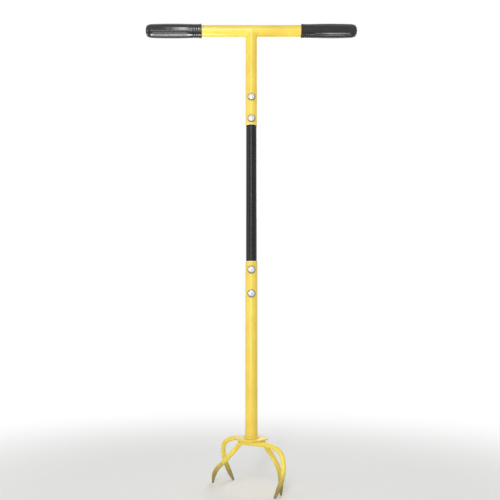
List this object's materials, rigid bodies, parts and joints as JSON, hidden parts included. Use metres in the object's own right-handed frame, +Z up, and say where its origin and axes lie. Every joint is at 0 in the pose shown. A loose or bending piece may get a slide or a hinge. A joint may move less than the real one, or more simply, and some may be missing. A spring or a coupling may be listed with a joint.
{
  "type": "twist tiller",
  "caption": "Long T-handled hand tiller with a bolted three-piece tube shaft, vinyl grips and a claw of twisted steel tines under a round plate.",
  "frame": {"origin": "on the ground under the shaft's axis, at the height of the four tine tips", "axes": "+Z up the shaft, crossbar along X with the left grip at -X, bolt heads towards -Y"},
  "size_m": [0.456, 0.1533, 0.9735],
  "materials": {
    "yellow_powder_coat": "glossy yellow powder coat on steel tube",
    "yellow_tine_coat": "yellow powder coat on bent steel bar, worn pale at the tips",
    "black_powder_coat": "satin black powder coat on steel tube",
    "black_vinyl": "glossy black dipped and moulded vinyl with shallow flutes",
    "zinc_plate": "bright zinc plate on steel fasteners"
  },
  "bodies": {
    "tiller": {"crossbar_tube": "yellow_powder_coat", "handle_stem_tube": "yellow_powder_coat", "left_handle_weld": "yellow_powder_coat", "right_handle_weld": "yellow_powder_coat", "left_grip": "black_vinyl", "right_grip": "black_vinyl", "middle_tube": "black_powder_coat", "lower_tube": "yellow_powder_coat", "foot_weld": "yellow_powder_coat", "base_plate": "yellow_powder_coat", "front_tine_bar": "yellow_tine_coat", "front_bar_outer_weld": "yellow_tine_coat", "front_bar_inner_weld": "yellow_tine_coat", "rear_tine_bar": "yellow_tine_coat", "rear_bar_outer_weld": "yellow_tine_coat", "rear_bar_inner_weld": "yellow_tine_coat", "handle_upper_bolt": "zinc_plate", "handle_lower_bolt": "zinc_plate", "foot_upper_bolt": "zinc_plate", "foot_lower_bolt": "zinc_plate"},
    "handle_upper_washer": {"handle_upper_washer": "zinc_plate"},
    "handle_upper_nut": {"handle_upper_nut": "zinc_plate"},
    "handle_lower_washer": {"handle_lower_washer": "zinc_plate"},
    "handle_lower_nut": {"handle_lower_nut": "zinc_plate"},
    "foot_upper_washer": {"foot_upper_washer": "zinc_plate"},
    "foot_upper_nut": {"foot_upper_nut": "zinc_plate"},
    "foot_lower_washer": {"foot_lower_washer": "zinc_plate"},
    "foot_lower_nut": {"foot_lower_nut": "zinc_plate"}
  },
  "joints": [
    {"name": "handle_upper_washer_slide", "type": "slide", "parent": "tiller", "child": "handle_upper_washer", "axis": [0, 1, 0], "range_m": [0, 0.007]},
    {"name": "handle_upper_nut_turn", "type": "hinge", "parent": "handle_upper_washer", "child": "handle_upper_nut", "pos_m": [0, 0, 0.806], "axis": [0, 1, 0], "range_deg": [0, 2520]},
    {"name": "handle_lower_washer_slide", "type": "slide", "parent": "tiller", "child": "handle_lower_washer", "axis": [0, 1, 0], "range_m": [0, 0.007]},
    {"name": "handle_lower_nut_turn", "type": "hinge", "parent": "handle_lower_washer", "child": "handle_lower_nut", "pos_m": [0, 0, 0.759], "axis": [0, 1, 0], "range_deg": [0, 2520]},
    {"name": "foot_upper_washer_slide", "type": "slide", "parent": "tiller", "child": "foot_upper_washer", "axis": [0, 1, 0], "range_m": [0, 0.007]},
    {"name": "foot_upper_nut_turn", "type": "hinge", "parent": "foot_upper_washer", "child": "foot_upper_nut", "pos_m": [0, 0, 0.4385], "axis": [0, 1, 0], "range_deg": [0, 2520]},
    {"name": "foot_lower_washer_slide", "type": "slide", "parent": "tiller", "child": "foot_lower_washer", "axis": [0, 1, 0], "range_m": [0, 0.007]},
    {"name": "foot_lower_nut_turn", "type": "hinge", "parent": "foot_lower_washer", "child": "foot_lower_nut", "pos_m": [0, 0, 0.3895], "axis": [0, 1, 0], "range_deg": [0, 2520]}
  ],
  "couplings": [
    {"joint": "handle_upper_nut_turn", "follows": "handle_upper_washer_slide", "rad_per_m": 6283.2},
    {"joint": "handle_lower_nut_turn", "follows": "handle_lower_washer_slide", "rad_per_m": 6283.2},
    {"joint": "foot_upper_nut_turn", "follows": "foot_upper_washer_slide", "rad_per_m": 6283.2},
    {"joint": "foot_lower_nut_turn", "follows": "foot_lower_washer_slide", "rad_per_m": 6283.2}
  ]
}
